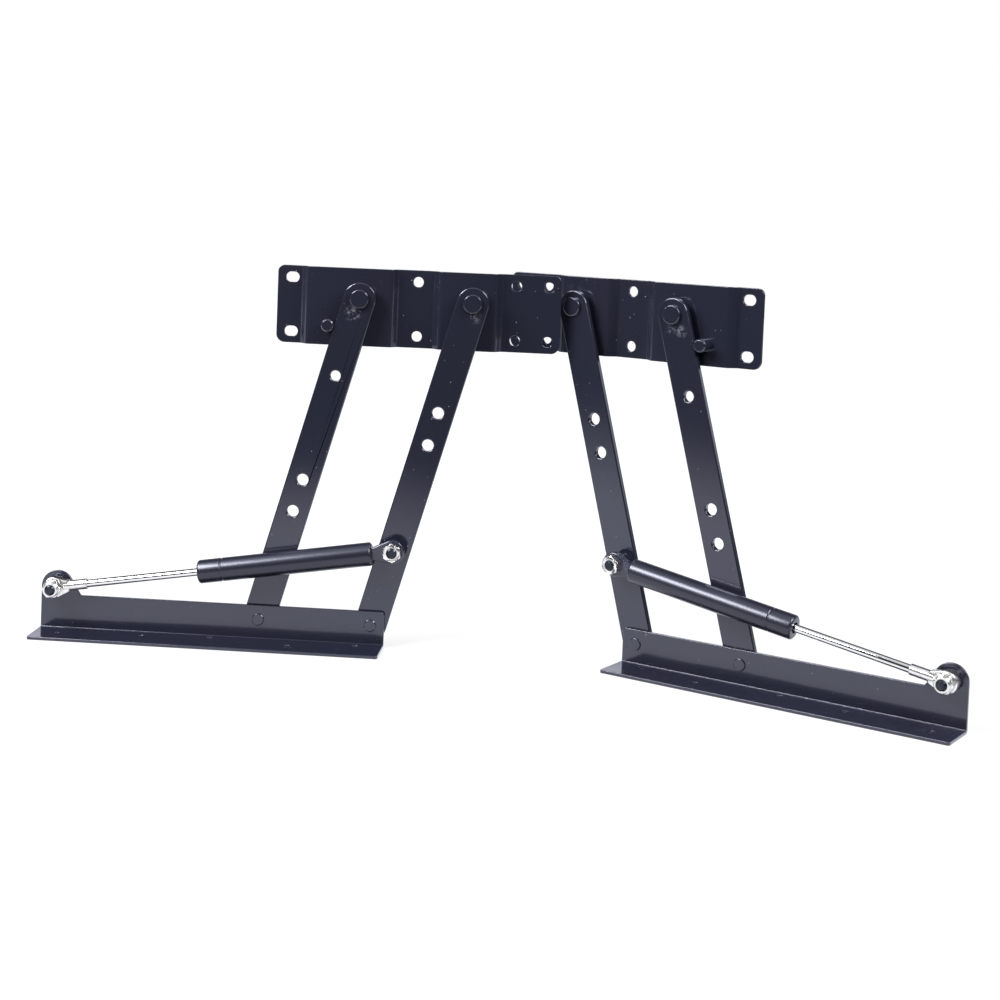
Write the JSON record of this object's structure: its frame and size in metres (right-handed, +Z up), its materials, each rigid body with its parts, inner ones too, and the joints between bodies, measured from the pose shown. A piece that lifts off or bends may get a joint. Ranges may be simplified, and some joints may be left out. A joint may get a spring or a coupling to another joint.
{
  "type": "lift top table mechanism",
  "caption": "Pair of mirrored black steel lift-up hinges for a table top: parallel flat arms between a base rail and a stepped top plate, each with a gas spring, shown fully open.",
  "frame": {"origin": "middle of the left rail's underside, on the floor", "axes": "+X along the left rail towards its inner end, +Y to the back through the left plate, +Z up"},
  "size_m": [0.6865, 0.2409, 0.2905],
  "materials": {
    "black_enamel": "glossy black enamel on steel",
    "black_lacquer": "smooth gloss black lacquer on steel",
    "dark_zinc": "dark zinc plate",
    "bright_zinc": "bright zinc plate",
    "chrome": "hard chrome, polished",
    "aluminium": "machined",
    "brass": "sintered",
    "rubber": "satin",
    "nylon": "satin",
    "white_nylon": "satin"
  },
  "bodies": {
    "rails": {"left_base_rail": "black_enamel", "left_lower_rivets": "black_enamel", "left_lower_washers": "nylon", "left_ear_stud": "dark_zinc", "left_ear_thin_nut": "bright_zinc", "left_ear_lock_nut": "bright_zinc", "right_base_rail": "black_enamel", "right_lower_rivets": "black_enamel", "right_lower_washers": "nylon", "right_ear_stud": "dark_zinc", "right_ear_thin_nut": "bright_zinc", "right_ear_lock_nut": "bright_zinc"},
    "left_outer_arm": {"left_outer_arm": "black_enamel"},
    "left_inner_arm": {"left_inner_arm": "black_enamel", "left_arm_stud_root": "black_enamel"},
    "left_top_plate": {"left_top_plate": "black_enamel", "left_upper_rivets": "black_enamel", "left_upper_collars": "black_enamel", "left_stop_pin": "black_enamel"},
    "left_spring_rod": {"left_piston_rod": "chrome", "left_rod_eye": "bright_zinc", "left_piston": "aluminium", "left_piston_ring": "white_nylon"},
    "left_spring_tube": {"left_gas_tube": "black_lacquer", "left_rod_guide": "brass", "left_rod_seal": "rubber", "left_tube_eye": "black_lacquer", "left_arm_stud": "dark_zinc", "left_arm_stud_spacer": "black_enamel", "left_arm_stud_nut": "bright_zinc"},
    "right_outer_arm": {"right_outer_arm": "black_enamel"},
    "right_inner_arm": {"right_inner_arm": "black_enamel", "right_arm_stud_root": "black_enamel"},
    "right_top_plate": {"right_top_plate": "black_enamel", "right_upper_rivets": "black_enamel", "right_upper_collars": "black_enamel", "right_stop_pin": "black_enamel"},
    "right_spring_rod": {"right_piston_rod": "chrome", "right_rod_eye": "bright_zinc", "right_piston": "aluminium", "right_piston_ring": "white_nylon"},
    "right_spring_tube": {"right_gas_tube": "black_lacquer", "right_rod_guide": "brass", "right_rod_seal": "rubber", "right_tube_eye": "black_lacquer", "right_arm_stud": "dark_zinc", "right_arm_stud_spacer": "black_enamel", "right_arm_stud_nut": "bright_zinc"}
  },
  "joints": [
    {"name": "left_fold", "type": "hinge", "parent": "rails", "child": "left_outer_arm", "pos_m": [0.03625, 0.021, 0.017], "axis": [0, -1, 0], "range_deg": [0, 88]},
    {"name": "left_inner_arm_turn", "type": "hinge", "parent": "rails", "child": "left_inner_arm", "pos_m": [0.12325, 0.021, 0.017], "axis": [0, -1, 0], "range_deg": [0, 88]},
    {"name": "left_plate_level", "type": "hinge", "parent": "left_outer_arm", "child": "left_top_plate", "pos_m": [0.10573, 0.021, 0.26754], "axis": [0, -1, 0], "range_deg": [-88, 0]},
    {"name": "left_rod_swing", "type": "hinge", "parent": "rails", "child": "left_spring_rod", "pos_m": [-0.12175, 0.021, 0.03525], "axis": [0, -1, 0], "range_deg": [-8.89, 0]},
    {"name": "left_spring_stroke", "type": "slide", "parent": "left_spring_rod", "child": "left_spring_tube", "axis": [-0.9876, 0, -0.1567], "range_m": [0, 0.07897]},
    {"name": "right_fold", "type": "hinge", "parent": "rails", "child": "right_outer_arm", "pos_m": [0.40525, -0.034, 0.017], "axis": [0.4924, 0.8704, 0], "range_deg": [0, 88]},
    {"name": "right_inner_arm_turn", "type": "hinge", "parent": "rails", "child": "right_inner_arm", "pos_m": [0.32953, 0.00884, 0.017], "axis": [0.4924, 0.8704, 0], "range_deg": [0, 88]},
    {"name": "right_plate_level", "type": "hinge", "parent": "right_outer_arm", "child": "right_top_plate", "pos_m": [0.34478, 0.00021, 0.26754], "axis": [0.4924, 0.8704, 0], "range_deg": [-88, 0]},
    {"name": "right_rod_swing", "type": "hinge", "parent": "rails", "child": "right_spring_rod", "pos_m": [0.54277, -0.1118, 0.03525], "axis": [0.4924, 0.8704, 0], "range_deg": [-8.89, 0]},
    {"name": "right_spring_stroke", "type": "slide", "parent": "right_spring_rod", "child": "right_spring_tube", "axis": [0.8596, -0.4863, -0.1567], "range_m": [0, 0.07897]}
  ],
  "couplings": [
    {"joint": "left_inner_arm_turn", "follows": "left_fold", "ratio": 1},
    {"joint": "left_plate_level", "follows": "left_fold", "ratio": -1},
    {"joint": "left_rod_swing", "follows": "left_fold", "ratio": -0.10106},
    {"joint": "left_spring_stroke", "follows": "left_fold", "m_per_rad": 0.051416},
    {"joint": "right_inner_arm_turn", "follows": "right_fold", "ratio": 1},
    {"joint": "right_plate_level", "follows": "right_fold", "ratio": -1},
    {"joint": "right_rod_swing", "follows": "right_fold", "ratio": -0.10106},
    {"joint": "right_spring_stroke", "follows": "right_fold", "m_per_rad": 0.051416}
  ]
}
